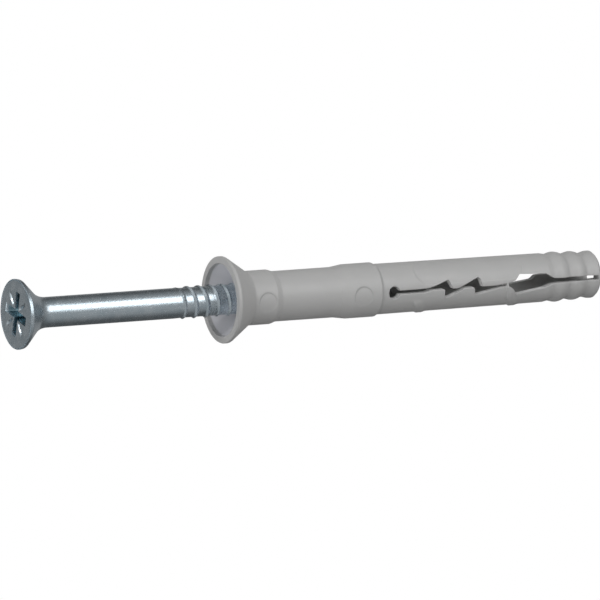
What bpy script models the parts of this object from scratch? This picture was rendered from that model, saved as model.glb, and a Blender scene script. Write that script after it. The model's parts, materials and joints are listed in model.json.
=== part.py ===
"""A hammer fixing: a slotted plastic plug with a countersunk collar, and its nail screw.

The fixing's own axis is X: the plug's collar face is at X = 0 and its tip at X = PLUG_LENGTH.
The nail waits half driven in the plug. Both pieces hang on one empty, which stands the fixing on
the flat face of the nail's head, because it would roll on its side. Sizes are in metres.
"""
import math

import bmesh
import bpy
from mathutils import Matrix, Vector

# Plug: collar, shoulder, neck and guide ring
PLUG_LENGTH = 0.0600
COLLAR_RADIUS = 0.0063
COLLAR_EDGE_ROUNDING = 0.0002
COLLAR_RIM_THICKNESS = 0.0005
COLLAR_DEPTH = 0.0037
SHOULDER_RADIUS = 0.00394
SHOULDER_LENGTH = 0.0037
SHOULDER_STEP = 0.0008
NECK_RADIUS = 0.00364
RAMP_LENGTH = 0.0020
RING_RADIUS = 0.00393
RING_LENGTH = 0.00435
RING_STEP = 0.00036

# Plug: the slotted legs, which are the same however long the neck is
LEG_LENGTH = 0.0359
LEG_RADIUS = 0.00366
LEG_RADIUS_AT_RIBS = 0.00353
TIP_ROUNDING = 0.0009
TIP_WALL = 0.0007
TIP_HOLE_RADIUS = 0.00175

# Rounded ribs round the tip, each a little smaller than the one before
RIB_COUNT = 3
RIB_PITCH = 0.00275
RIB_HEIGHT = 0.00027
RIB_TAPER = 0.0001
RIB_VALLEY_RADIUS = 0.00336
RIB_POINTS = 4

# Two raised grips across the back of the lower leg
GRIP_TO_KEYHOLE = 0.0034
GRIP_LENGTH = 0.0018
GRIP_TOP = 0.0010
GRIP_FACE = 0.00012
GRIP_HEIGHT = 0.00013
GRIP_HALF_ANGLE = math.radians(62)

# Keyhole and slit
KEYHOLE_TO_RING = 0.0021
KEYHOLE_RADIUS = 0.0009
SLIT_WIDTH = 0.00064
SLIT_STRAIGHT_SHARE = 0.6

# Teeth that step into each other, as gaps of their own width
TOOTH_COUNT = 2
TOOTH_PITCH = 0.0048
TOOTH_TO_WEB = 0.0055
TOOTH_TOP = 0.0009
TOOTH_DROP = 0.0002
TOOTH_GAP = 0.0012
TOOTH_SLANT = 0.00055
TOOTH_CUT_BELOW = 0.00122
TOOTH_CUT_ABOVE = 0.00140
TOOTH_ROUNDING = 0.00022

# Web, window and the last slit
WEB_THICKNESS = 0.0003
WEB_TO_WINDOW = 0.0014
WINDOW_LENGTH = 0.0062
WINDOW_TOP = 0.00142
WINDOW_BOTTOM = 0.00155
WINDOW_TOP_FALL = 0.0002
WINDOW_BOTTOM_RISE = 0.0008
WINDOW_SLOPE = 0.0007
TIP_SLIT_LENGTH = 0.0072
TIP_SLIT_WIDTH = 0.00066

# Nail screw: how far it stands out of the collar, and what is measured from its head's face
NAIL_STANDOUT = 0.0326
NAIL_TIP_SETBACK = 0.0001
SHANK_RADIUS = 0.0022
HEAD_RADIUS = 0.0051
HEAD_EDGE_ROUNDING = 0.00017
HEAD_LAND = 0.0004
HEAD_CONE_ANGLE = math.radians(46)
HEAD_FILLET = 0.0014
THREAD_START = 0.0247
THREAD_PITCH = 0.0018
THREAD_RIDGE = 0.0008
THREAD_HEIGHT = 0.00017
THREAD_DEPTH = 0.00004
NAIL_POINT_LENGTH = 0.0042
NAIL_POINT_RADIUS = 0.0004

# Cross recess in the nail's head, with four shallow ticks between its arms
RECESS_SPAN = 0.0060
RECESS_WIDTH = 0.0013
RECESS_DEPTH = 0.0027
RECESS_FLOOR_SPAN = 0.0018
RECESS_FLOOR_WIDTH = 0.0009
RECESS_TURN = math.radians(14)
TICK_SPAN = 0.0052
TICK_WIDTH = 0.00032
TICK_FLOOR_SPAN = 0.0026
TICK_FLOOR_WIDTH = 0.00016
TICK_DEPTH = 0.0005

# Clearances between the nail and the plug, and how far a cutter reaches past what it cuts
BORE_CLEARANCE = 0.00014
SEAT_CLEARANCE = 0.0002
CUTTER_MARGIN = 0.0010

PLUG_FACETS = 48
NAIL_FACETS = 32
KEYHOLE_FACETS = 24
ARC_STEPS = 4
RIM_STEPS = 2
CORNER_REACH = 0.45
SHARP_ANGLE = math.radians(32)
WELD_DISTANCE = 1e-7

# Places along the axis, from the collar's face
SHOULDER_END = COLLAR_DEPTH + SHOULDER_LENGTH
RING_END = PLUG_LENGTH - LEG_LENGTH
RING_START = RING_END - RING_LENGTH
RAMP_START = RING_START - RAMP_LENGTH
KEYHOLE_PLACE = RING_END + KEYHOLE_TO_RING
SLIT_END = PLUG_LENGTH - TIP_WALL
WINDOW_END = SLIT_END - TIP_SLIT_LENGTH
WINDOW_START = WINDOW_END - WINDOW_LENGTH
WEB_PLACE = WINDOW_START - WEB_TO_WINDOW
FIRST_TOOTH = WEB_PLACE - TOOTH_TO_WEB - (TOOTH_COUNT - 1) * TOOTH_PITCH
GRIP_STARTS = (KEYHOLE_PLACE + GRIP_TO_KEYHOLE, WEB_PLACE - GRIP_FACE)

# The driven nail ends just inside the plug's tip
NAIL_LENGTH = PLUG_LENGTH - NAIL_TIP_SETBACK
POINT_START = NAIL_LENGTH - NAIL_POINT_LENGTH
CREST_RADIUS = SHANK_RADIUS + THREAD_HEIGHT
ROOT_RADIUS = SHANK_RADIUS - THREAD_DEPTH
BORE_RADIUS = CREST_RADIUS + BORE_CLEARANCE


def clear_scene():
    """Removes every object that the scene starts with."""
    for item in list(bpy.data.objects):
        bpy.data.objects.remove(item, do_unlink=True)


def material(name, colour, roughness, metallic):
    """One Principled material."""
    made = bpy.data.materials.new(name)
    made.use_nodes = True
    shader = made.node_tree.nodes["Principled BSDF"]
    shader.inputs["Base Color"].default_value = (*colour, 1.0)
    shader.inputs["Roughness"].default_value = roughness
    shader.inputs["Metallic"].default_value = metallic
    return made


def arc(centre, radius, start, end, steps=ARC_STEPS):
    """Points of an arc from one angle to another, in degrees, about a centre (along, across)."""
    points = []
    for step in range(steps + 1):
        angle = math.radians(start + (end - start) * step / steps)
        points.append((centre[0] + radius * math.cos(angle), centre[1] + radius * math.sin(angle)))
    return points


def rounded(corners):
    """A closed outline whose corners (along, across, radius) are rounded by arcs of their own radius."""
    outline = []
    count = len(corners)
    for index, (along, across, radius) in enumerate(corners):
        here = Vector((along, across))
        before = Vector(corners[index - 1][:2]) - here
        after = Vector(corners[(index + 1) % count][:2]) - here
        if radius == 0:
            outline.append(tuple(here))
            continue
        half = before.angle(after) / 2
        reach = min(radius / math.tan(half), before.length * CORNER_REACH, after.length * CORNER_REACH)
        first = here + before.normalized() * reach
        last = here + after.normalized() * reach
        for step in range(ARC_STEPS + 1):
            share = step / ARC_STEPS
            point = first * (1 - share) ** 2 + here * 2 * share * (1 - share) + last * share ** 2
            outline.append(tuple(point))
    return outline


def head_profile():
    """The nail head's section (along, radius), from the face's rim down the cone and fillet to the shank."""
    corner = HEAD_RADIUS - HEAD_EDGE_ROUNDING
    points = arc((HEAD_EDGE_ROUNDING, corner), HEAD_EDGE_ROUNDING, 180, 90, RIM_STEPS)
    cone_start = HEAD_EDGE_ROUNDING + HEAD_LAND
    cone_end = cone_start + (HEAD_RADIUS - SHANK_RADIUS) / math.tan(HEAD_CONE_ANGLE)
    tip = Vector((cone_end, SHANK_RADIUS))
    first = tip - HEAD_FILLET * Vector((math.cos(HEAD_CONE_ANGLE), -math.sin(HEAD_CONE_ANGLE)))
    last = tip + Vector((HEAD_FILLET, 0))
    points.append((cone_start, HEAD_RADIUS))
    for step in range(ARC_STEPS + 1):
        share = step / ARC_STEPS
        points.append(tuple(first * (1 - share) ** 2 + tip * 2 * share * (1 - share) + last * share ** 2))
    return points


def seat_profile():
    """The collar's recess (along, radius): the head's cone and fillet with clearance, down to the bore."""
    points = [(0.0, HEAD_RADIUS + SEAT_CLEARANCE)]
    for along, radius in head_profile()[RIM_STEPS + 1:]:
        spot = (along + SEAT_CLEARANCE, radius + SEAT_CLEARANCE)
        if spot[1] < BORE_RADIUS:
            before = points[-1]
            share = (before[1] - BORE_RADIUS) / (before[1] - spot[1])
            points.append((before[0] + (spot[0] - before[0]) * share, BORE_RADIUS))
            break
        points.append(spot)
    return points


def rib_profile():
    """Rounded ribs that get smaller toward the tip, the last one running into the rounded end."""
    last_crest = PLUG_LENGTH - TIP_ROUNDING
    first_valley = last_crest - (RIB_COUNT - 0.5) * RIB_PITCH
    points = [(first_valley - RIB_PITCH / RIB_POINTS, LEG_RADIUS_AT_RIBS)]
    for rib in range(RIB_COUNT):
        valley = RIB_VALLEY_RADIUS - rib * RIB_TAPER
        for step in range(RIB_POINTS):
            along = first_valley + (rib + step / RIB_POINTS) * RIB_PITCH
            if along < last_crest - WELD_DISTANCE:
                points.append((along, valley + RIB_HEIGHT * math.sin(math.pi * step / RIB_POINTS)))
    last_radius = RIB_VALLEY_RADIUS + RIB_HEIGHT - (RIB_COUNT - 1) * RIB_TAPER
    points += arc((last_crest, last_radius - TIP_ROUNDING), TIP_ROUNDING, 90, 0)
    return points


def grip_profile(start):
    """The rows that a grip is raised from, flush with the leg until raise_grips lifts the middle two."""
    stations = (start, start + GRIP_FACE, start + GRIP_TOP, start + GRIP_LENGTH)
    return [(station, leg_radius(station)) for station in stations]


def leg_radius(along):
    """The legs' slight taper from the guide ring to the ribs."""
    share = (along - RING_END) / LEG_LENGTH
    return LEG_RADIUS + (LEG_RADIUS_AT_RIBS - LEG_RADIUS) * share


def plug_profile():
    """The plug's whole section as one closed loop: outside from face to tip, then back through the bore."""
    corner = COLLAR_RADIUS - COLLAR_EDGE_ROUNDING
    outside = arc((COLLAR_EDGE_ROUNDING, corner), COLLAR_EDGE_ROUNDING, 180, 90, RIM_STEPS)
    outside += [
        (COLLAR_RIM_THICKNESS, COLLAR_RADIUS),
        (COLLAR_DEPTH, SHOULDER_RADIUS),
        (SHOULDER_END, SHOULDER_RADIUS),
        (SHOULDER_END + SHOULDER_STEP, NECK_RADIUS),
        (RAMP_START, NECK_RADIUS),
        (RING_START, RING_RADIUS),
        (RING_END, RING_RADIUS),
        (RING_END + RING_STEP, LEG_RADIUS),
    ]
    for start in GRIP_STARTS:
        outside += grip_profile(start)
    outside += rib_profile()
    inside = [
        (PLUG_LENGTH, TIP_HOLE_RADIUS),
        (SLIT_END, TIP_HOLE_RADIUS),
        (POINT_START + BORE_CLEARANCE, BORE_RADIUS),
    ]
    return outside + inside + seat_profile()[::-1]


def revolve(body, profile, facets, closed):
    """Spins a profile (along, radius) about X; the facets lie flat underneath."""
    half_facet = math.pi / facets
    across = Vector((0, math.cos(half_facet), math.sin(half_facet)))
    points = [body.verts.new(Vector((along, 0, 0)) + across * radius) for along, radius in profile]
    edges = [body.edges.new(pair) for pair in zip(points, points[1:])]
    if closed:
        edges.append(body.edges.new((points[-1], points[0])))
    bmesh.ops.spin(
        body,
        geom=points + edges,
        cent=(0, 0, 0),
        axis=(1, 0, 0),
        angle=2 * math.pi,
        steps=facets,
        use_merge=True,
    )


def finish(body, name, coat, parent):
    """Welds the mesh, turns its faces outwards, and hangs it on its parent."""
    bmesh.ops.remove_doubles(body, verts=body.verts, dist=WELD_DISTANCE)
    bmesh.ops.recalc_face_normals(body, faces=body.faces)
    mesh = bpy.data.meshes.new(name)
    body.to_mesh(mesh)
    body.free()
    mesh.materials.append(coat)
    mesh.shade_smooth()
    mesh.set_sharp_from_angle(angle=SHARP_ANGLE)
    made = bpy.data.objects.new(name, mesh)
    bpy.context.scene.collection.objects.link(made)
    made.parent = parent
    return made


def cutter(body, name, target, parent):
    """Makes a hidden cutter from a mesh, and takes it away from the target."""
    bmesh.ops.remove_doubles(body, verts=body.verts, dist=WELD_DISTANCE)
    bmesh.ops.recalc_face_normals(body, faces=body.faces)
    mesh = bpy.data.meshes.new(name)
    body.to_mesh(mesh)
    body.free()
    made = bpy.data.objects.new(name, mesh)
    bpy.context.scene.collection.objects.link(made)
    made.parent = parent
    made.hide_render = True
    made.display_type = "WIRE"
    cut = target.modifiers.new(name, "BOOLEAN")
    cut.operation = "DIFFERENCE"
    cut.solver = "EXACT"
    cut.object = made
    return made


def raise_grips(body):
    """Lifts the grips' middle rows across the back of the lower leg."""
    for start in GRIP_STARTS:
        raised = (start + GRIP_FACE, start + GRIP_TOP)
        for point in body.verts:
            across = Vector((0, point.co.y, point.co.z))
            if across.length < (BORE_RADIUS + LEG_RADIUS) / 2:
                continue
            in_row = any(abs(point.co.x - station) < WELD_DISTANCE for station in raised)
            if in_row and across.angle(Vector((0, 0, -1))) < GRIP_HALF_ANGLE:
                point.co += across.normalized() * GRIP_HEIGHT


def side_prism(outline):
    """An outline (along, up) pushed right through the plug from side to side."""
    body = bmesh.new()
    width = SHOULDER_RADIUS + CUTTER_MARGIN
    points = [body.verts.new((along, -width, up)) for along, up in outline]
    face = body.faces.new(points)
    pushed = bmesh.ops.extrude_face_region(body, geom=[face])
    moved = [item for item in pushed["geom"] if isinstance(item, bmesh.types.BMVert)]
    bmesh.ops.translate(body, verts=moved, vec=(0, 2 * width, 0))
    return body


def teeth_outline():
    """The gap between the legs from the keyhole to the web: a slit, then teeth that step into each other."""
    half = SLIT_WIDTH / 2
    straight_end = KEYHOLE_PLACE + SLIT_STRAIGHT_SHARE * (FIRST_TOOTH - KEYHOLE_PLACE)
    upper = [(KEYHOLE_PLACE, half, 0), (straight_end, half, SLIT_WIDTH)]
    lower = [(KEYHOLE_PLACE, -half, 0), (straight_end, -half, SLIT_WIDTH)]
    for tooth in range(TOOTH_COUNT):
        place = FIRST_TOOTH + tooth * TOOTH_PITCH
        upper.append((place + TOOTH_GAP - TOOTH_SLANT, TOOTH_CUT_ABOVE, TOOTH_ROUNDING))
        upper.append((place + TOOTH_GAP, 0.0, TOOTH_ROUNDING))
        lower.append((place - TOOTH_TOP - TOOTH_DROP, half, TOOTH_ROUNDING))
        lower.append((place - TOOTH_DROP, half, TOOTH_ROUNDING))
        lower.append((place, -TOOTH_CUT_BELOW, TOOTH_ROUNDING))
    web_face = WEB_PLACE - WEB_THICKNESS / 2
    upper.append((web_face, half, 0))
    lower.append((web_face, -half, 0))
    return rounded(upper + lower[::-1])


def window_outline():
    """The gap from the web to the tip: a long window that narrows into the last slit."""
    web_face = WEB_PLACE + WEB_THICKNESS / 2
    upper = [
        (web_face, SLIT_WIDTH / 2, 0),
        (WINDOW_START, SLIT_WIDTH, TOOTH_ROUNDING),
        (WINDOW_START + WINDOW_SLOPE, WINDOW_TOP, TOOTH_ROUNDING),
        (WINDOW_END - WINDOW_SLOPE, WINDOW_TOP - WINDOW_TOP_FALL, SLIT_WIDTH),
        (WINDOW_END, TIP_SLIT_WIDTH / 2, TOOTH_ROUNDING),
        (SLIT_END, TIP_SLIT_WIDTH / 2, 0),
    ]
    lower = [
        (web_face, -SLIT_WIDTH / 2, 0),
        (WINDOW_START - WINDOW_SLOPE, -SLIT_WIDTH / 2, TOOTH_ROUNDING),
        (WINDOW_START, -WINDOW_BOTTOM, TOOTH_ROUNDING),
        (WINDOW_END - WINDOW_SLOPE, -WINDOW_BOTTOM + WINDOW_BOTTOM_RISE, SLIT_WIDTH),
        (WINDOW_END, -TIP_SLIT_WIDTH / 2, TOOTH_ROUNDING),
        (SLIT_END, -TIP_SLIT_WIDTH / 2, 0),
    ]
    return rounded(upper + lower[::-1])


def keyhole_body():
    """The round hole that ends the slit, drilled from side to side."""
    body = bmesh.new()
    length = 2 * (SHOULDER_RADIUS + CUTTER_MARGIN)
    place = Matrix.Translation((KEYHOLE_PLACE, 0, 0)) @ Matrix.Rotation(math.pi / 2, 4, "X")
    bmesh.ops.create_cone(
        body,
        cap_ends=True,
        segments=KEYHOLE_FACETS,
        radius1=KEYHOLE_RADIUS,
        radius2=KEYHOLE_RADIUS,
        depth=length,
        matrix=place,
    )
    return body


def build_plug(coat, parent):
    """The moulded plug: a turned body, cut into two legs that stay joined at the web and at the tip."""
    body = bmesh.new()
    revolve(body, plug_profile(), PLUG_FACETS, closed=True)
    raise_grips(body)
    plug = finish(body, "plug", coat, parent)
    cutter(side_prism(teeth_outline()), "cut_teeth", plug, parent)
    cutter(side_prism(window_outline()), "cut_window", plug, parent)
    cutter(keyhole_body(), "cut_keyhole", plug, parent)
    return plug


def thread_rows():
    """One pitch of the thread (along, radius): a narrow ridge, then a flat root."""
    return ((0.0, ROOT_RADIUS), (THREAD_RIDGE / 2, CREST_RADIUS), (THREAD_RIDGE, ROOT_RADIUS))


def add_thread(body):
    """A right-hand single-start thread, as columns of points that climb one pitch in a turn."""
    rows = thread_rows()
    turns = math.ceil((POINT_START - THREAD_START) / THREAD_PITCH) + 2
    columns = []
    for facet in range(NAIL_FACETS):
        angle = (facet + 0.5) * 2 * math.pi / NAIL_FACETS
        column = []
        for turn in range(turns):
            for step, radius in rows:
                along = THREAD_START + step + THREAD_PITCH * (turn + facet / NAIL_FACETS - 1)
                inside = THREAD_START < along < POINT_START
                along = min(max(along, THREAD_START), POINT_START)
                radius = radius if inside else SHANK_RADIUS
                spot = (along, radius * math.cos(angle), radius * math.sin(angle))
                column.append(body.verts.new(spot))
        columns.append(column)
    for facet in range(NAIL_FACETS):
        left = columns[facet]
        last = facet == NAIL_FACETS - 1
        right = columns[0][len(rows):] if last else columns[facet + 1]
        for index in range(min(len(left), len(right)) - 1):
            body.faces.new((left[index], right[index], right[index + 1], left[index + 1]))


def wedge(span, width, floor_span, floor_width, depth, turn):
    """A tapered slot in the head's face, its floor shorter and narrower than its mouth."""
    body = bmesh.new()
    top = -CUTTER_MARGIN
    grow = CUTTER_MARGIN / depth
    mouth_span = span + (span - floor_span) * grow
    mouth_width = width + (width - floor_width) * grow
    rings = []
    corners = ((-1, -1), (1, -1), (1, 1), (-1, 1))
    for along, length, across in ((top, mouth_span, mouth_width), (depth, floor_span, floor_width)):
        spots = [(along, a * across / 2, b * length / 2) for a, b in corners]
        rings.append([body.verts.new(spot) for spot in spots])
    body.faces.new(rings[0])
    body.faces.new(rings[1])
    for index in range(4):
        after = (index + 1) % 4
        body.faces.new((rings[0][index], rings[0][after], rings[1][after], rings[1][index]))
    bmesh.ops.rotate(body, verts=body.verts, cent=(0, 0, 0), matrix=Matrix.Rotation(turn, 3, "X"))
    return body


def build_nail(coat, parent):
    """The nail screw: a countersunk head with a cross recess, a smooth shank, a thread and a point."""
    body = bmesh.new()
    head = [(0.0, 0.0)] + head_profile() + [(THREAD_START, SHANK_RADIUS)]
    revolve(body, head, NAIL_FACETS, closed=False)
    add_thread(body)
    point = [(POINT_START, SHANK_RADIUS), (NAIL_LENGTH, NAIL_POINT_RADIUS), (NAIL_LENGTH, 0.0)]
    revolve(body, point, NAIL_FACETS, closed=False)
    nail = finish(body, "nail_screw", coat, parent)
    nail.location.x = -NAIL_STANDOUT
    for index in range(2):
        turn = RECESS_TURN + index * math.pi / 2
        slot = wedge(RECESS_SPAN, RECESS_WIDTH, RECESS_FLOOR_SPAN, RECESS_FLOOR_WIDTH, RECESS_DEPTH, turn)
        cutter(slot, f"cut_slot_{index + 1}", nail, nail)
        tick_turn = turn + math.pi / 4
        tick = wedge(TICK_SPAN, TICK_WIDTH, TICK_FLOOR_SPAN, TICK_FLOOR_WIDTH, TICK_DEPTH, tick_turn)
        cutter(tick, f"cut_tick_{index + 1}", nail, nail)
    return nail


def stand_up(parent):
    """Stands the fixing on the nail's head, with its own axis upright over the origin."""
    parent.rotation_euler = (0, -math.pi / 2, 0)
    parent.location = (0, 0, NAIL_STANDOUT)


def main():
    """Builds the whole fixing."""
    clear_scene()
    plastic = material("grey_plastic", (0.42, 0.42, 0.42), 0.5, 0.0)
    zinc = material("zinc_plated_steel", (0.55, 0.60, 0.64), 0.3, 1.0)
    rest = bpy.data.objects.new("rest_frame", None)
    bpy.context.scene.collection.objects.link(rest)
    build_plug(plastic, rest)
    build_nail(zinc, rest)
    stand_up(rest)


main()
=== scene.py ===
"""Dresses a countersunk hammer fixing: a grey slotted plastic plug and its zinc-plated nail screw.

The fixing stands on the nail's flat head with its own axis upright. "Along" is measured up that axis from
the plug's collar face, "up" in the sections is the side that the upper leg is on, and sizes are in metres.
"""

import json
import math

import bmesh
import bpy
import numpy as np
from mathutils import Matrix, Vector


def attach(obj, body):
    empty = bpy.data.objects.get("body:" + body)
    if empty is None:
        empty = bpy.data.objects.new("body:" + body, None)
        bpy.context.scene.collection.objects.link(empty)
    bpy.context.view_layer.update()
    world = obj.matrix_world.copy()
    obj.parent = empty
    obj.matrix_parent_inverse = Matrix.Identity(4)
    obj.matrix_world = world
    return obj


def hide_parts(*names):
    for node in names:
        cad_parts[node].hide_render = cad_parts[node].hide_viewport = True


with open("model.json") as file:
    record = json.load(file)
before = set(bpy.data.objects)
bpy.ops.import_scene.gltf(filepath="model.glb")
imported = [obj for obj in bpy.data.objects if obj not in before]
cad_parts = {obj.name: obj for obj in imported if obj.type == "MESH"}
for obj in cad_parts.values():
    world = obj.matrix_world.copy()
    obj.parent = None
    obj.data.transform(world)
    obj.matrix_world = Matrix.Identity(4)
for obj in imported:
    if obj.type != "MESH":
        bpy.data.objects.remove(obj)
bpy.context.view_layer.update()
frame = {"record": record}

bl_info = {
    "name": "Hammer Fixing",
    "version": (1, 0, 0),
    "blender": (4, 5, 0),
    "location": "3D View > Sidebar > Fixing",
    "description": "Builds a countersunk hammer fixing: a slotted plug and its nail screw",
    "category": "Object",
}

MM = 0.001
MOUNTS = {mount["name"]: mount["pos_m"] for mount in frame["record"]["mounts"]}
COLLAR_PLACE = MOUNTS["collar_face"][2]
PLUG_LENGTH = MOUNTS["tip_face"][2] - COLLAR_PLACE


# Sizes and colours that can be changed in the sidebar


def length(name, description, default):
    """A size in metres."""
    return bpy.props.FloatProperty(
        name=name,
        description=description,
        default=default,
        min=0.0,
        precision=5,
        subtype="DISTANCE",
        unit="LENGTH",
    )


def angle(name, description, degrees):
    """An angle, stored in radians."""
    return bpy.props.FloatProperty(
        name=name,
        description=description,
        default=math.radians(degrees),
        subtype="ANGLE",
        unit="ROTATION",
    )


def number(name, description, default, high=1.0):
    """A plain number from 0 upwards."""
    return bpy.props.FloatProperty(
        name=name,
        description=description,
        default=default,
        min=0.0,
        max=high,
    )


def colour(name, description, default):
    """A colour, as linear red, green and blue."""
    return bpy.props.FloatVectorProperty(
        name=name,
        description=description,
        default=default,
        min=0.0,
        max=1.0,
        size=3,
        subtype="COLOR",
    )


class PlugSizes(bpy.types.PropertyGroup):
    """The plug's sizes. Lengths along the axis are measured from the collar's face."""

    collar_radius: length("Collar radius", "Half the width of the collar", 0.0062862)
    collar_edge: length("Collar edge rounding", "Rounding of the collar's two edges", 0.0002)
    rim_thickness: length("Rim thickness", "Straight part of the collar's rim", 0.0005)
    recess_radius: length("Recess radius", "Half the width of the recess in the collar's face", 0.0053)
    recess_wall: length("Recess wall", "Depth of the recess before its cone starts", 0.0006)
    collar_depth: length("Collar depth", "Where the collar's cone ends", 0.00385)
    shoulder_radius: length("Shoulder radius", "Radius of the shoulder behind the collar", 0.00394)
    shoulder_end: length("Shoulder end", "Where the shoulder ends", 0.0074)
    neck_radius: length("Neck radius", "Radius of the neck", 0.00364)
    ramp_start: length("Ramp start", "Where the neck starts to widen into the guide ring", 0.01775)
    ring_start: length("Ring start", "Where the guide ring starts", 0.01975)
    ring_radius: length("Ring radius", "Radius of the guide ring", 0.00393)
    ring_end: length("Ring end", "Where the guide ring ends", 0.0241)
    leg_radius: length("Leg radius", "Radius of the legs behind the ring", 0.00366)
    rib_base_radius: length("Leg radius at ribs", "Radius of the legs where the ribs start", 0.00353)
    rib_pitch: length("Rib pitch", "Distance between the ribs round the tip", 0.00275)
    rib_height: length("Rib height", "Height of a rib over the valleys beside it", 0.00025)
    rib_valley: length("Rib valley radius", "Radius of the first valley", 0.00338)
    rib_taper: length("Rib taper", "How much each rib is smaller than the one before", 0.0001)
    tip_rounding: length("Tip rounding", "Rounding of the plug's end", 0.0009)
    tip_hole: length("Tip hole radius", "Radius of the hole in the plug's end", 0.00175)
    bore_radius: length("Bore radius", "Radius of the bore that the nail slides in", 0.00251)
    bore_taper: length("Bore taper", "Where the bore starts to narrow towards the tip", 0.05584)
    keyhole: length("Keyhole place", "Middle of the round hole that ends the slit", 0.0262)
    keyhole_radius: length("Keyhole radius", "Radius of that hole", 0.0009)
    slit: length("Slit width", "Width of the straight part of the slit", 0.00074)
    web: length("Web place", "Middle of the thin web that joins the legs", 0.0445)
    web_thickness: length("Web thickness", "Thickness of that web along the axis", 0.0003)
    slit_end: length("Slit end", "Where the last slit ends at the tip's wall", 0.0593)
    lip: length("Slit edge rounding", "Rounding of the edges where the slit opens", 0.00010)
    grip_height: length("Grip height", "How far a grip stands out from its leg", 0.00016)


class NailSizes(bpy.types.PropertyGroup):
    """The nail screw's sizes. Lengths along the axis are measured from the head's face."""

    nail_length: length("Length", "From the head's face to the point", 0.0599)
    shank: length("Shank radius", "Radius of the smooth shank", 0.0022)
    head: length("Head radius", "Half the width of the head", 0.0051)
    head_edge: length("Head edge rounding", "Rounding of the face's rim", 0.00026)
    head_land: length("Head land", "Straight part of the head's rim", 0.00030)
    head_cone: angle("Head cone angle", "Angle of the head's cone from the axis", 46.0)
    head_fillet: length("Head fillet", "Length of the curve from the cone into the shank", 0.0014)
    recess_span: length("Recess span", "Tip to tip of the cross recess", 0.0065)
    recess_width: length("Recess width", "Width of an arm of the cross recess", 0.0013)
    recess_depth: length("Recess depth", "Depth of the cross recess's walls", 0.0027)
    recess_turn: angle("Recess turn", "How far the cross recess is turned", 10.0)
    tick_reach: length("Tick reach", "Distance from the middle to a tick's end", 0.0037)
    tick_width: length("Tick width", "Width of the small ticks between the arms", 0.00042)
    tick_depth: length("Tick depth", "Depth of the ticks at the middle", 0.00045)
    thread_start: length("Thread start", "Where the thread runs in", 0.0247)
    thread_pitch: length("Thread pitch", "Distance between turns of the thread", 0.0018)
    thread_width: length("Thread ridge width", "Width of the thread's ridge at its foot", 0.00066)
    thread_height: length("Thread height", "How far the ridge stands out from the shank", 0.00015)
    thread_depth: length("Thread depth", "How far the root lies below the shank", 0.00005)
    point_length: length("Point length", "Length of the tapered point", 0.0042)
    point_radius: length("Point radius", "Radius of the point's blunt end", 0.0004)


class PlasticFinish(bpy.types.PropertyGroup):
    """The look of the moulded plastic, with painted light in the collar's recess and on the gap's thin
    walls.
    """

    base: colour("Plastic colour", "Colour of the moulded plastic", (0.430, 0.430, 0.426))
    shade: colour("Plastic shade", "Slightly darker tone that mottles it", (0.378, 0.378, 0.376))
    # Painted light: a paler, cooler tone for the light and reflections that reach into the collar's recess
    recess: colour("Recess colour", "Paler, cooler tone inside the collar's recess", (0.60, 0.60, 0.635))
    # Painted light: a paler tone for the light on the thin walls inside the slit
    gap: colour("Gap colour", "Paler tone of the thin walls inside the slit", (0.66, 0.66, 0.655))
    roughness: number("Plastic roughness", "Roughness of the satin surface", 0.40)
    texture: length("Texture height", "Height of the fine moulding texture", 0.000010)


class ZincFinish(bpy.types.PropertyGroup):
    """The look of the zinc plating, with painted shade deep inside the cross recess."""

    bright: colour("Zinc colour", "Brighter tone of the plating", (0.58, 0.64, 0.68))
    dull: colour("Dull zinc", "Duller, bluer tone of the plating", (0.42, 0.50, 0.55))
    # Painted shade: a dark tone deep inside the cross recess
    recess: colour("Recess tone", "Dark tone deep inside the cross recess", (0.28, 0.40, 0.45))
    roughness: number("Zinc roughness", "Roughness of the plating where it is smooth", 0.27)
    pitting: length("Pit depth", "Depth of the fine pits", 0.000028)


class StageSettings(bpy.types.PropertyGroup):
    """Camera, floor and lamps."""

    azimuth: angle("Camera azimuth", "Direction of the camera round the fixing, 0 looks along +Y", -11.928)
    elevation: angle("Camera elevation", "Height of the camera over the horizon", -26.210)
    roll: angle("Camera roll", "How far the picture's right side is turned upwards", 85.970)
    distance: length("Camera distance", "From the camera to the point it looks at", 3.4733)
    lens: number("Lens", "Focal length in millimetres on a 36 mm sensor", 1450.0, 3000.0)
    key_power: number("Key lamp", "Power of the large lamp in watts", 0.80, 100.0)
    head_power: number("Head lamp", "Power of the lamp in front of the nail's head in watts", 0.60, 100.0)
    side_power: number("Side lamp", "Power of the lamp beyond the upper leg in watts", 1.0, 100.0)
    top_power: number("Top lamp", "Power of the lamp over the floor in watts", 1.0, 100.0)
    back_power: number("Back lamp", "Power of the lamp behind the fixing in watts", 1.3, 100.0)
    ambient: number("Ambient light", "Strength of the even light from all round", 0.110)
    fill: number("Fill light", "Strength of the broad light from the front", 0.34)
    under: number("Light from below", "Strength of the broad light on the head's face", 0.62)
    floor: colour("Floor colour", "Colour of the floor", (0.86, 0.86, 0.86))


CAMERA_AIM = (0.875 * MM, 0.255 * MM, 45.533 * MM)


# Curves and meshes


def smooth(low, high, values):
    """0 up to low, 1 from high and the cubic t * t * (3 - 2 t) between; with low above high it falls."""
    t = np.clip((values - low) / (high - low), 0.0, 1.0)
    return t * t * (3 - 2 * t)


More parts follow.
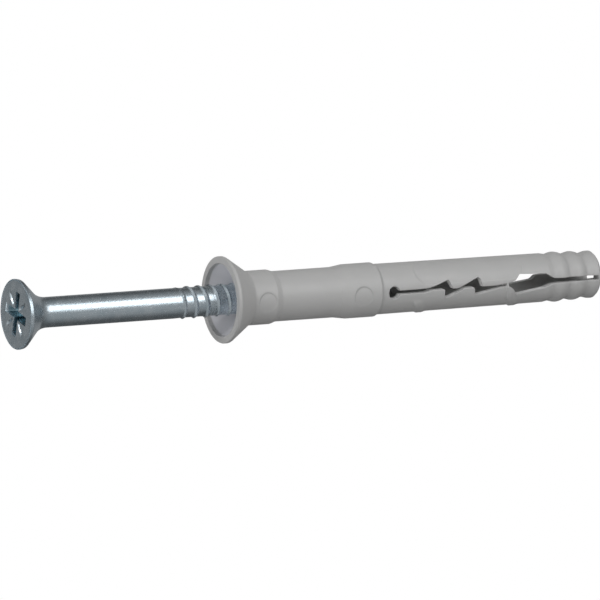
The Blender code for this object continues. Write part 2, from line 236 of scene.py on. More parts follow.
def rounded_path(corners, steps=5):
    """A path (along, radius) whose corners (along, radius, rounding) turn in a quadratic curve.

    Each corner P with its curve's ends A and B, reach away from it towards its neighbours, gives the points
    A (1 - t)^2 + 2 P t (1 - t) + B t^2. The first and last corners stay sharp.
    """
    spots, rounding = corners[:, :2], corners[1:-1, 2]
    before, here, after = spots[:-2], spots[1:-1], spots[2:]
    back, ahead = before - here, after - here
    back_length = np.linalg.norm(back, axis=1)
    ahead_length = np.linalg.norm(ahead, axis=1)
    back, ahead = back / back_length[:, None], ahead / ahead_length[:, None]
    half = np.arccos(np.clip((back * ahead).sum(axis=1), -1, 1)) / 2
    reach = np.minimum(rounding / np.tan(half), np.minimum(back_length, ahead_length) * 0.45)
    first = (here + back * reach[:, None])[:, None]
    last = (here + ahead * reach[:, None])[:, None]
    t = np.linspace(0, 1, steps)[None, :, None]
    curves = first * (1 - t) ** 2 + 2 * here[:, None] * t * (1 - t) + last * t**2
    return np.concatenate([spots[:1], curves.reshape(-1, 2), spots[-1:]])


def filled_path(path, step):
    """The same path with more points, so that no two are further apart than step."""
    lengths = np.concatenate([[0], np.cumsum(np.linalg.norm(np.diff(path, axis=0), axis=1))])
    places = np.concatenate([lengths, np.arange(0, lengths[-1], step)])
    places = np.unique(places.round(7))
    return np.stack([np.interp(places, lengths, path[:, axis]) for axis in (0, 1)], axis=1)


def in_place(along, turn, radius):
    """Points at a distance from the axis; the turn starts at the front and goes over the upper leg."""
    along, turn, radius = np.broadcast_arrays(along, turn, radius)
    return np.stack([-radius * np.sin(turn), -radius * np.cos(turn), along + COLLAR_PLACE], axis=-1)


def ring_quads(rows, columns):
    """Quads of a grid of points whose last column joins its first, as (row, column, corner)."""
    index = np.arange(rows * columns).reshape(rows, columns)
    ahead = np.roll(index, -1, axis=1)
    return np.stack([index[:-1], ahead[:-1], ahead[1:], index[1:]], axis=-1)


# Points closer than the first are welded, and shorter edges than the second are dissolved
WELD = 1.5e-6
SHORTEST_EDGE = 1e-6
SHARP_ANGLE = math.radians(38.0)


def make_piece(name, points, quads, coat, body, node):
    """Welds the grid into one closed mesh with its faces outwards, and dresses the CAD node with it."""
    mesh = bpy.data.meshes.new(name)
    mesh.from_pydata(points.reshape(-1, 3), [], quads.reshape(-1, 4))
    work = bmesh.new()
    work.from_mesh(mesh)
    bmesh.ops.remove_doubles(work, verts=work.verts, dist=WELD)
    bmesh.ops.dissolve_degenerate(work, edges=work.edges, dist=SHORTEST_EDGE)
    loose = [point for point in work.verts if not point.link_faces]
    bmesh.ops.delete(work, geom=loose, context="VERTS")
    bmesh.ops.recalc_face_normals(work, faces=work.faces)
    open_edges = sum(1 for edge in work.edges if len(edge.link_faces) != 2)
    volume = work.calc_volume() / MM**3
    print(f"{name}: {len(work.faces)} faces, {open_edges} edges without two faces, {volume:.1f} mm3")
    work.to_mesh(mesh)
    work.free()
    mesh.shade_smooth()
    mesh.set_sharp_from_angle(angle=SHARP_ANGLE)
    mesh.materials.append(coat)
    piece = bpy.data.objects.new(name, mesh)
    bpy.context.scene.collection.objects.link(piece)
    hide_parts(node)
    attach(piece, body)


# The plug

# Columns of a ring over a leg, round a lip and across a gap, and how much the first crowd at the edges
ARC_COLUMNS = 36
LIP_COLUMNS = 3
GAP_COLUMNS = 2
CROWDING = 0.5

# Distances between rows: on the outside, on the inside and on the legs
OUTSIDE_STEP = 0.5 * MM
INSIDE_STEP = 0.9 * MM
LEG_STEP = 0.25 * MM

# Closer rows than this are thinned: on the legs, at an end of the gap and on the neck
LEAST_STEP = 0.012 * MM
END_CLEARANCE = 0.015 * MM
LEAST_NECK_STEP = 0.02 * MM

# Extra rows: beside the gap's ends, on the grips (first, last, step) and on the ribs
END_ROWS = np.array([-0.12, -0.06, -0.02, 0, 0.02, 0.06, 0.12]) * MM
GRIP_ROWS = ((0.0290, 0.0332, 0.07 * MM), (0.0443, 0.0480, 0.08 * MM))
RIB_ROWS_FROM = 0.051

# Where the neck's rows start, how far the legs' rows reach past the gap, and where the lip fades in
NECK_START = 4 * MM
END_MARGIN = 0.00013
LIP_FADE = 0.12 * MM

# A grip's rise at its front, its flat top, its whole length, and its front's lean for each radian
GRIP_RISE = 0.00014
GRIP_TOP = 0.0009
GRIP_LENGTH = 0.0018
GRIP_LEAN = 0.0018

# The round marks and the long pad on the upper leg in millimetres: middles (across, along) and sizes
MARKS = ((0.10, 5.80), (0.20, 21.15))
MARK_RADIUS = 1.40
MARK_DEPTH, MARK_SLOPE, MARK_FADE = 0.060, 0.020, 0.14
MARK_ROW_REACH, MARK_ROW_STEP = 1.6, 0.11
PANEL_MIDDLE, PANEL_HALF, PANEL_END = 38.5, 6.5, 2.15
PANEL_TURN, PANEL_LEG = math.radians(47.0), 3.62
PANEL_DEPTH, PANEL_FADE = 0.030, 0.3

# Chamfers of the recess's edge and the tip's hole, and the angle of the recess's cone from the axis
RECESS_CHAMFER = 0.00004
HOLE_CHAMFER = 0.00006
RECESS_CONE = math.radians(46)

# Rib pitches from the first valley to the last crest
RIB_COUNT = 2.5


def gap_outlines(sizes):
    """Edges of the gap between the legs as paths (along, height): front upper and lower, then the back's.

    From the keyhole a straight slit leads to two teeth that step into each other, up to the web. Past the
    web the gap opens into a window that narrows into the last slit. Outside the gap all heights are 0.
    """
    # Each corner in millimetres: along, height, rounding
    half = sizes.slit / 2 / MM
    web = sizes.web / MM
    key = sizes.keyhole / MM
    face = sizes.web_thickness / 2 / MM
    end = sizes.slit_end / MM
    closed = [(0.0, 0.0, 0.0), (key - 0.001, 0.0, 0.0)]
    tip = [(end + 0.12, 0.0, 0.0), (70.0, 0.0, 0.0)]
    front_upper = closed + [
        (key, half * 0.7, 0.0), (web - 14.2, half * 0.7, 0.6), (web - 12.6, 0.33, 0.6),
        (web - 11.1, 0.76, 0.6), (web - 9.9, 1.18, 0.3), (web - 9.48, 1.30, 0.14),
        (web - 8.85, 0.0, 0.25), (web - 8.4, -0.08, 0.3), (web - 7.7, 0.10, 0.6),
        (web - 6.1, 0.80, 0.6), (web - 4.7, 1.38, 0.12), (web - 4.4, 1.15, 0.2),
        (web - 4.0, -0.13, 0.25), (web - 3.5, -0.36, 0.3), (web - 2.7, -0.30, 0.5),
        (web - 1.25, 0.07, 0.6), (web - face, 0.20, 0.0), (web + face, 0.22, 0.0),
        (web + 1.3, 0.55, 0.25), (web + 2.05, 1.40, 0.15), (web + 6.3, 1.20, 0.5),
        (web + 7.65, 0.44, 0.4), (end - 2.0, 0.45, 0.3), (end, 0.42, 0.0),
    ] + tip
    front_lower = closed + [
        (key, -half * 0.75, 0.0), (web - 13.4, -half * 0.75, 0.6), (web - 11.8, 0.08, 0.6),
        (web - 11.0, 0.37, 0.3), (web - 10.55, 0.33, 0.2), (web - 10.15, -0.12, 0.2),
        (web - 10.03, -1.20, 0.12), (web - 9.3, -1.14, 0.3), (web - 7.7, -0.42, 0.6),
        (web - 6.3, 0.27, 0.3), (web - 5.75, 0.34, 0.2), (web - 5.33, -0.22, 0.2),
        (web - 5.2, -1.12, 0.12), (web - 4.6, -1.06, 0.3), (web - 2.9, -0.68, 0.6),
        (web - 1.3, -0.33, 0.5), (web - face, -0.23, 0.0), (web + face, -0.25, 0.0),
        (web + 0.6, -0.38, 0.25), (web + 1.2, -0.95, 0.25), (web + 1.5, -1.52, 0.12),
        (web + 6.0, -0.82, 0.6), (web + 7.2, -0.36, 0.4), (web + 8.5, -0.22, 0.5),
        (end, -0.20, 0.0),
    ] + tip
    back_upper = closed + [
        (key, half, 0.0), (key + 4.98, half, 0.74), (web - 9.65, 1.40, 0.22),
        (web - 9.10, 0.0, 0.22), (web - 4.85, 1.40, 0.22), (web - 4.30, 0.0, 0.22),
        (web - face, half, 0.0), (web + face, half, 0.0), (web + 1.4, 0.74, 0.22),
        (web + 2.1, 1.50, 0.22), (web + 6.9, 1.30, 0.74), (web + 7.6, 0.31, 0.22), (end, 0.30, 0.0),
    ] + tip
    back_lower = closed + [
        (key, -half, 0.0), (key + 4.98, -half, 0.74), (web - 11.40, half, 0.22),
        (web - 10.50, half, 0.22), (web - 10.30, -1.22, 0.22), (web - 6.60, half, 0.22),
        (web - 5.70, half, 0.22), (web - 5.50, -1.22, 0.22), (web - 4.6, -1.16, 0.4),
        (web - 2.0, -0.02, 0.4), (web - face, -0.02, 0.0), (web + face, -half, 0.0),
        (web + 0.9, -half, 0.22), (web + 2.2, -1.27, 0.5), (web + 6.9, -0.72, 0.74),
        (web + 7.6, -0.14, 0.22), (end, -0.14, 0.0),
    ] + tip
    edges = (front_upper, front_lower, back_upper, back_lower)
    return [rounded_path(np.array(edge) * MM) for edge in edges]


def outside_profile(sizes):
    """The plug's outside in section as (along, radius), from the recess's edge to the hole in the tip.

    The ribs are a squared sine on a radius that steps down by the taper from each rib to the next.
    """
    s = sizes
    corners = [
        (RECESS_CHAMFER, s.recess_radius, 0.0),
        (0.0, s.recess_radius + RECESS_CHAMFER, 0.00002),
        (0.0, s.collar_radius, s.collar_edge),
        (s.rim_thickness, s.collar_radius, 0.00015),
        (s.collar_depth, s.shoulder_radius, 0.0009),
        (s.shoulder_end, s.shoulder_radius, 0.0006),
        (s.shoulder_end + 0.0009, s.neck_radius, 0.0006),
        (s.ramp_start, s.neck_radius, 0.00060),
        (s.ring_start, s.ring_radius, 0.00060),
        (s.ring_end, s.ring_radius, 0.00022),
        (s.ring_end + 0.00042, s.leg_radius, 0.00025),
    ]
    crest = PLUG_LENGTH - s.tip_rounding
    valley = crest - RIB_COUNT * s.rib_pitch
    corners.append((valley - 0.0008, s.rib_base_radius, 0.0006))
    path = rounded_path(np.array(corners + [(valley, s.rib_valley, 0.0)]))
    along = np.linspace(valley, crest, 50)
    ribs = (along - valley) / s.rib_pitch
    wave = np.sin(math.pi * ribs) ** 2
    radius = s.rib_valley - s.rib_taper * np.floor(ribs + 1e-9) + s.rib_height * wave
    radius -= s.rib_taper * smooth(0.75, 1.0, ribs % 1.0) * (ribs < RIB_COUNT - 0.1)
    turn = np.linspace(math.pi / 2, 0, 9)[1:]
    end = np.stack([crest + s.tip_rounding * np.cos(turn),
                    radius[-1] - s.tip_rounding * (1 - np.sin(turn))], axis=1)
    face = [(PLUG_LENGTH, s.tip_hole + HOLE_CHAMFER), (PLUG_LENGTH - HOLE_CHAMFER, s.tip_hole)]
    return np.concatenate([path[:-1], np.stack([along, radius], axis=1), end, face])


def inside_profile(sizes):
    """The recess and the bore in section as (along, radius) from the recess's edge to the tip hole."""
    s = sizes
    cone = s.recess_wall + (s.recess_radius - s.bore_radius) / math.tan(RECESS_CONE)
    corners = [
        (RECESS_CHAMFER, s.recess_radius, 0.0),
        (s.recess_wall, s.recess_radius - 0.00006, 0.00006),
        (cone, s.bore_radius, 0.0004),
        (s.bore_taper, s.bore_radius, 0.0003),
        (s.slit_end, s.tip_hole, 0.0),
        (PLUG_LENGTH - HOLE_CHAMFER, s.tip_hole, 0.0),
    ]
    return rounded_path(np.array(corners))


def leg_relief(along, turn, sizes):
    """Height of the two grips on the lower leg: steep at their front, sloping at their back.

    Away is the angle from the leg's middle, where each front lies furthest along. The first grip fades
    before the gap; the second one reaches it on both sides.
    """
    away = np.abs((turn - 1.5 * math.pi + math.pi) % (2 * math.pi) - math.pi)
    height = np.zeros(np.broadcast(along, turn).shape)
    # Each grip's start, then in degrees how far its front leans and where it starts and stops to fade
    grips = ((0.0291, 70.0, 58.0, 70.0), (sizes.web - 0.00012, 60.0, 84.0, 92.0))
    for start, lean_from, fade, last in grips:
        front = start + GRIP_LEAN * np.clip(math.radians(lean_from) - away, 0, None)
        rise = smooth(0.0, GRIP_RISE, along - front)
        fall = 1 - smooth(GRIP_TOP, GRIP_LENGTH, along - front)
        ends = 1 - smooth(math.radians(fade), math.radians(last), away)
        height += sizes.grip_height * rise * fall * ends
    return height


def moulded_marks(along, turn, radius):
    """Depth of the round marks on the front and back, deeper at the top, and of the upper leg's long pad.

    A mark is a disc seen along the y axis. The pad is a stadium wrapped on the leg: the distance from its
    middle line, along the axis past the line's ends and round the leg beside it.
    """
    across, place = -radius * np.sin(turn) / MM, along / MM
    depth = np.zeros(across.shape)
    for middle, height in MARKS:
        away = np.hypot(across - middle, place - height)
        inside = 1 - smooth(MARK_RADIUS - MARK_FADE, MARK_RADIUS + MARK_FADE, away)
        depth += (MARK_DEPTH - MARK_SLOPE * across) * inside
    off_end = np.maximum(np.abs(place - PANEL_MIDDLE) - PANEL_HALF, 0)
    off_side = ((turn - PANEL_TURN + math.pi) % (2 * math.pi) - math.pi) * PANEL_LEG
    away = np.hypot(off_end, off_side)
    depth += PANEL_DEPTH * (1 - smooth(PANEL_END - PANEL_FADE, PANEL_END + PANEL_FADE, away))
    return depth * MM


class Gap:
    """The gap between the legs: its edges on the front and the back, and where it opens and closes."""

    def __init__(self, sizes):
        front_upper, front_lower, back_upper, back_lower = gap_outlines(sizes)
        self.front = [front_upper, front_lower]
        self.back = [back_upper, back_lower]
        self.sizes = sizes
        self.start = sizes.keyhole - sizes.keyhole_radius
        self.web_start = sizes.web - sizes.web_thickness / 2
        self.web_end = sizes.web + sizes.web_thickness / 2
        self.ends = np.array([self.start, self.web_start, self.web_end, sizes.slit_end])

    def is_open(self, along):
        """Whether the gap is open at each place."""
        in_web = (along > self.web_start) & (along < self.web_end)
        return (along > self.start) & (along < self.sizes.slit_end) & ~in_web

    def heights(self, along, edges):
        """The gap's upper and lower edge: the outlines, or the keyhole's circle where that is wider."""
        square = self.sizes.keyhole_radius**2 - (along - self.sizes.keyhole) ** 2
        round_hole = np.sqrt(np.clip(square, 0, None))
        upper, lower = (np.interp(along, edge[:, 0], edge[:, 1]) for edge in edges)
        return np.maximum(upper, round_hole), np.minimum(lower, -round_hole)

    def lip(self, along):
        """Rounding of the gap's outer edges, which fades at each end of the gap."""
        away = np.abs(along[:, None] - self.ends).min(axis=1)
        return self.sizes.lip * self.is_open(along) * smooth(0, LIP_FADE, away)


def leg_places(gap, outside, sizes):
    """Places of the rows from just before the keyhole to just past the last slit.

    Even steps are joined by the outlines' points, the keyhole's circle, rows beside each end of the gap,
    and finer rows on the grips and the ribs. Rows that nearly meet are thinned, but never a gap's end.
    """
    outlines = [edge[1:-1, 0] for edge in gap.front + gap.back]
    circle = sizes.keyhole - sizes.keyhole_radius * np.cos(np.linspace(0, math.pi, 17))
    beside = (gap.ends[:, None] + END_ROWS).ravel()
    grips = [np.arange(*rows) for rows in GRIP_ROWS]
    on_ribs = (outside[:, 0] > RIB_ROWS_FROM) & (outside[:, 0] < PLUG_LENGTH - sizes.tip_rounding)
    even = np.arange(gap.start, sizes.slit_end, LEG_STEP)
    places = np.concatenate([even, *outlines, circle, beside, *grips, outside[on_ribs, 0]])
    within = (places >= gap.start - END_MARGIN) & (places <= sizes.slit_end + END_MARGIN)
    places = np.unique(places[within].round(6))
    spaced = np.concatenate([[True], np.diff(places) > LEAST_STEP])
    is_end = np.abs(places[:, None] - gap.ends.round(6)).min(axis=1) < 1e-7
    crowded = np.abs(places[:, None] - gap.ends).min(axis=1) < END_CLEARANCE
    return places[(spaced & ~crowded) | is_end]


def outer_rows(outside, places, sizes):
    """The outside's path with the legs' rows in it, and with finer rows at the round marks."""
    marks = [
        np.arange(middle - MARK_ROW_REACH, middle + MARK_ROW_REACH, MARK_ROW_STEP)
        for _, middle in MARKS
    ]
    before = outside[outside[:, 0] < places[0], 0]
    neck = np.unique(np.concatenate([before, np.concatenate(marks) * MM]).round(6))
    spaced = np.concatenate([[True], np.diff(neck) > LEAST_NECK_STEP])
    neck = neck[spaced & (neck > NECK_START)]
    straight = outside[outside[:, 0] < PLUG_LENGTH - sizes.tip_rounding]
    along = np.concatenate([neck, places])
    radius = np.interp(along, straight[:, 0], straight[:, 1])
    start = outside[outside[:, 0] <= NECK_START]
    past = outside[outside[:, 0] > places[-1]]
    return np.concatenate([start, np.stack([along, radius], axis=1), past])


def inner_rows(inside, places):
    """The inside's path with the legs' rows in it."""
    radius = np.interp(places, inside[:, 0], inside[:, 1])
    before, past = inside[inside[:, 0] < places[0]], inside[inside[:, 0] > places[-1]]
    return np.concatenate([before, np.stack([places, radius], axis=1), past])


def edge_turn(height, radius):
    """Turn at which a ring reaches a height: asin(height / radius)."""
    return np.arcsin(np.clip(height / radius, -1, 1))


def ring_columns(rows, gap, lip_columns):
    """Turns and radii of the columns of each ring.

    They run over the upper leg, across the far gap, under the lower leg and across the near gap. A leg's
    edge lies where the ring reaches the height of the gap's edge. Where there are lip columns, they take
    the edge round a quarter circle between the outside and the gap's wall.
    """
    along, radius = rows.T
    top, bottom = gap.heights(along, gap.front)
    back_top, back_bottom = gap.heights(along, gap.back)
    lip = gap.lip(along) if lip_columns else np.zeros(len(along))
    beta = np.linspace(math.pi / 2, 0, lip_columns + 1)[None, :-1]
    lip_radius = radius[:, None] - lip[:, None] * (1 - np.cos(beta))

    def lip_turns(height, side):
        """Turns of a lip's columns from the gap's wall outwards; side is 1 on the upper leg, or -1."""
        return edge_turn(height[:, None] + side * lip[:, None] * (1 - np.sin(beta)), lip_radius)

    even = np.linspace(0, 1, ARC_COLUMNS + 1)[None]
    arc = even - CROWDING * np.sin(2 * math.pi * even) / (2 * math.pi)
    across = np.linspace(0, 1, GAP_COLUMNS + 1)[None, 1:-1]
    upper_from = edge_turn(top + lip, radius)[:, None]
    upper_to = edge_turn(back_top + lip, radius)[:, None]
    lower_from = edge_turn(back_bottom - lip, radius)[:, None]
    lower_to = edge_turn(bottom - lip, radius)[:, None]
    top_turn, bottom_turn = edge_turn(top, radius)[:, None], edge_turn(bottom, radius)[:, None]
    back_top_turn = edge_turn(back_top, radius)[:, None]
    back_bottom_turn = edge_turn(back_bottom, radius)[:, None]
    turn = np.concatenate([
        lip_turns(top, 1),
        upper_from + (math.pi - upper_to - upper_from) * arc,
        math.pi - lip_turns(back_top, 1)[:, ::-1],
        math.pi - back_top_turn + (back_top_turn - back_bottom_turn) * across,
        math.pi - lip_turns(back_bottom, -1),
        math.pi - lower_from + (math.pi + lower_to + lower_from) * arc,
        2 * math.pi + lip_turns(bottom, -1)[:, ::-1],
        2 * math.pi + bottom_turn + (top_turn - bottom_turn) * across,
    ], axis=1)
    on_leg = np.repeat(radius[:, None], ARC_COLUMNS + 1, axis=1)
    on_gap = np.repeat(radius[:, None], GAP_COLUMNS - 1, axis=1)
    half = [lip_radius, on_leg, lip_radius[:, ::-1], on_gap]
    return turn, np.concatenate(half + half, axis=1)


def grid_faces(rows, columns, gap, lip_columns, first):
    """Quads of one grid of rings, without those that would close the gap.

    Also gives the numbers of the points on the far and near gap, as (row, column across the gap), and
    whether the gap is open between each two rows. First is the number of the grid's first point.
    """
    half_ring = ARC_COLUMNS + 2 * lip_columns
    across = np.arange(GAP_COLUMNS + 1)
    sides = [half_ring + across, 2 * half_ring + GAP_COLUMNS + across]
    quads = ring_quads(len(rows), columns) + first
    is_open = gap.is_open((rows[:-1, 0] + rows[1:, 0]) / 2)
    over_gap = np.zeros(quads.shape[:2], bool)
    over_gap[:, np.concatenate([side[:-1] for side in sides])] = True
    starts = first + np.arange(len(rows))[:, None] * columns
    numbers = [starts + side % columns for side in sides]
    return quads[~(over_gap & is_open[:, None])], numbers, is_open


def plug_surface(sizes):
    """The plug as one closed surface of two grids, outside and inside, joined along the gap's edges.

    Each row is a ring at one place along the axis. Walls join both grids along the open gap's edges, and
    caps join them at each of its ends.
    """
    gap = Gap(sizes)
    outside = filled_path(outside_profile(sizes), OUTSIDE_STEP)
    places = leg_places(gap, outside, sizes)
    outer = outer_rows(outside, places, sizes)
    inner = inner_rows(filled_path(inside_profile(sizes), INSIDE_STEP), places)
    along = outer[:, :1]
    turn, reach = ring_columns(outer, gap, LIP_COLUMNS)
    reach = reach + leg_relief(along, turn, sizes) - moulded_marks(along, turn, reach)
    inner_turn, inner_reach = ring_columns(inner, gap, 0)
    outer_points = in_place(along, turn, reach).reshape(-1, 3)
    inner_points = in_place(inner[:, :1], inner_turn, inner_reach).reshape(-1, 3)

    outer_quads, outer_sides, outer_open = grid_faces(outer, turn.shape[1], gap, LIP_COLUMNS, 0)
    inner_quads, inner_sides, inner_open = grid_faces(
        inner, inner_turn.shape[1], gap, 0, len(outer_points)
    )
    out_row, in_row = np.nonzero(outer_open)[0], np.nonzero(inner_open)[0]
    out_end, in_end = (np.nonzero(np.diff(rows.astype(int)))[0] + 1 for rows in (outer_open, inner_open))
    walls, caps = [], []
    for out_side, in_side in zip(outer_sides, inner_sides):
        for edge in (0, -1):
            out_edge, in_edge = out_side[:, edge], in_side[:, edge]
            corners = [out_edge[out_row], out_edge[out_row + 1], in_edge[in_row + 1], in_edge[in_row]]
            walls.append(np.stack(corners, axis=-1))
        out_cap, in_cap = out_side[out_end], in_side[in_end]
        corners = [out_cap[:, :-1], out_cap[:, 1:], in_cap[:, 1:], in_cap[:, :-1]]
        caps.append(np.stack(corners, axis=-1).reshape(-1, 4))
    points = np.concatenate([outer_points, inner_points])
    return points, np.concatenate([outer_quads, inner_quads, *walls, *caps])


# The nail screw

# Columns over an arm's end and each half of its side, and rows over the face and a turn of the thread
ARM_END_COLUMNS = 8
ARM_SIDE_COLUMNS = 12
FACE_ROWS = 22
THREAD_ROWS = 12
SHANK_STEP = 1.2 * MM

# How much the rim leans in up to the head's cone, the rounding there, and the point's blunt end
RIM_LEAN = 0.00008
RIM_ROUNDING = 0.00016
POINT_DROP = 0.0002
POINT_SPREAD = 0.0001

# The recess: its mouth's chamfer, its floor's cross with the rows below and inside it, and its walls'
# rows as shares of the depth and of the way from the mouth's span to the floor's
MOUTH_CHAMFER = 0.00006
FLOOR_SPAN = 0.0018
FLOOR_WIDTH = 0.0009
FLOOR_DROPS = np.array([[0.0004], [0.0002]])
FLOOR_SHARES = np.array([[0.0], [0.5]])
WALL_DEPTHS = np.array([[1.0], [0.86], [0.62], [0.36], [0.12], [0.03]])
WALL_SPANS = np.array([[1.0], [0.50], [0.26], [0.13], [0.035], [0.01]])


def cross_turns(sizes):
    """Turns of the columns, so that four of them lie on each corner of the cross recess."""
    end = math.atan(sizes.recess_width / sizes.recess_span)
    quarter = np.concatenate([
        np.linspace(-end, end, ARM_END_COLUMNS, endpoint=False),
        np.linspace(end, math.pi / 2 - end, 2 * ARM_SIDE_COLUMNS, endpoint=False),
    ])
    return (quarter[None] + np.arange(4)[:, None] * math.pi / 2).ravel()


def cross_radius(turns, span, width):
    """Distance from the middle to the outline of a cross: the nearer of an arm's end and its side."""
    away = np.abs((turns + math.pi / 4) % (math.pi / 2) - math.pi / 4)
    return np.minimum(span / 2 / np.cos(away), width / 2 / np.maximum(np.sin(away), 1e-6))


def head_rings(turns, sizes):
    """Rings (along, radius) from the middle of the recess's floor, up its walls and over the face.

    The walls' rings follow a cross that shrinks with depth. The face's rings blend from the cross to the
    round rim, with the small ticks pressed into them.
    """
    s = sizes
    mouth = cross_radius(turns, s.recess_span, s.recess_width) + MOUTH_CHAMFER
    rim = s.head - s.head_edge
    from_tick = np.abs((turns + math.pi / 4) % (math.pi / 2) - math.pi / 4) - math.pi / 4

    def tick(radius):
        """Depth of the ticks between the arms: a V across, fading at its inner and its outer end."""
        side = np.abs(np.sin(from_tick)) * radius
        fade = smooth(s.tick_reach, s.tick_reach * 0.6, radius)
        fade = fade * smooth(s.tick_reach * 0.35, s.tick_reach * 0.55, radius)
        return s.tick_depth * fade * np.clip(1 - side / (s.tick_width / 2), 0, 1)

    floor_radius = cross_radius(turns, FLOOR_SPAN, FLOOR_WIDTH) * FLOOR_SHARES
    span = s.recess_span + (FLOOR_SPAN - s.recess_span) * WALL_SPANS
    width = s.recess_width + (FLOOR_WIDTH - s.recess_width) * WALL_DEPTHS
    wall_along = np.maximum(s.recess_depth * WALL_DEPTHS, tick(mouth))
    face_radius = mouth + (rim - mouth) * np.linspace(0, 1, FACE_ROWS)[:, None]
    return [
        (s.recess_depth + FLOOR_DROPS, floor_radius),
        (wall_along, cross_radius(turns, span, width)),
        (tick(face_radius), face_radius),
    ]


def thread_rings(turns, sizes, point_start):
    """Rings (along, radius) of the thread, from the shank to the point.

    They fall one pitch in a turn, which makes the thread right-handed. The ridge is a raised cosine that
    fades in over the first turn and out before the point.
    """
    s = sizes
    count = math.ceil((point_start - s.thread_start) / s.thread_pitch) + 1
    shares = np.arange(count * THREAD_ROWS)[:, None] / THREAD_ROWS
    along = s.thread_start + (shares - turns[None] / (2 * math.pi)) * s.thread_pitch
    phase = (shares % 1.0 - 0.5) * s.thread_pitch / (s.thread_width / 2)
    ridge = np.where(np.abs(phase) < 1, (1 + np.cos(math.pi * phase)) / 2, 0.0)
    run_in = smooth(s.thread_start, s.thread_start + 1.1 * s.thread_pitch, along)
    run_out = 1 - smooth(point_start - 0.6 * s.thread_pitch, point_start, along)
    radius = s.shank - s.thread_depth * run_in * run_out
    radius = radius + (s.thread_height + s.thread_depth) * ridge * run_in * run_out
    return np.clip(along, s.thread_start, point_start), radius


def nail_surface(sizes):
    """The nail screw as one closed grid of rings: its head, its shank, its thread and its point."""
    s = sizes
    turns = cross_turns(s)
    cone_start = s.head_edge + s.head_land
    cone_end = cone_start + (s.head - s.shank) / math.tan(s.head_cone)
    corners = np.array([
        (0.0, s.head - s.head_edge, 0.0),
        (0.0, s.head, s.head_edge * 0.7),
        (cone_start, s.head - RIM_LEAN, RIM_ROUNDING),
        (cone_end, s.shank, s.head_fillet * math.tan((math.pi - s.head_cone) / 2)),
        (s.thread_start, s.shank, 0.0),
    ])
    shank = filled_path(rounded_path(corners, 9), SHANK_STEP)[1:]
    point_start = s.nail_length - s.point_length
    point = np.array([
        (point_start, s.shank),
        (s.nail_length - POINT_DROP, s.point_radius + POINT_SPREAD),
        (s.nail_length, s.point_radius),
        (s.nail_length, 0.0),
    ])
    parts = head_rings(turns, s) + [
        (shank[:, :1], shank[:, 1:]),
        thread_rings(turns, s, point_start),
        (point[:, :1], point[:, 1:]),
    ]
    grids = [np.broadcast_arrays(along, radius, turns) for along, radius in parts]
    along = np.concatenate([grid[0] for grid in grids])
    radius = np.concatenate([grid[1] for grid in grids])
    points = in_place(along - COLLAR_PLACE, turns + math.pi / 2 - s.recess_turn, radius)
    thread_count = len(grids[-2][0])
    first = len(along) - len(point) - thread_count
    quads, joined = helical_seam(ring_quads(*along.shape), first, thread_count, len(turns))
    return points.reshape(-1, 3), np.concatenate([quads, joined])


def helical_seam(quads, first, rows, columns):
    """Joins the thread's last column to its first one a pitch back, where the rows meet."""
    keep = np.ones(quads.shape[:2], bool)
    keep[first - 1: first + rows, -1] = False
    row = np.arange(first - 1, first + rows + 1)
    back = np.where(row == first + rows, row, np.clip(row - THREAD_ROWS, first - 1, None))
    left = row * columns + columns - 1
    right = back * columns
    joined = np.stack([left[:-1], right[:-1], right[1:], left[1:]], axis=-1)
    return quads[keep], joined


# Shaders


class Value:
    """A shader socket that carries a number; arithmetic on it adds Math nodes."""

    def __init__(self, shader, socket):
        self.shader = shader
        self.socket = socket

    def __add__(self, other):
        return self.shader.math("ADD", self, other)

    __radd__ = __add__

    def __sub__(self, other):
        return self.shader.math("SUBTRACT", self, other)

    def __rsub__(self, other):
        return self.shader.math("SUBTRACT", other, self)

    def __mul__(self, other):
        return self.shader.math("MULTIPLY", self, other)

    def __pow__(self, other):
        return self.shader.math("POWER", self, other)

    def __abs__(self):
        return self.shader.math("ABSOLUTE", self)

    def ramp(self, low, high):
        """0 below low, 1 above high, smooth between."""
        settings = {"interpolation_type": "SMOOTHSTEP"}
        return self.shader.node("ShaderNodeMapRange", settings, {0: self, 1: low, 2: high, 3: 0.0, 4: 1.0})


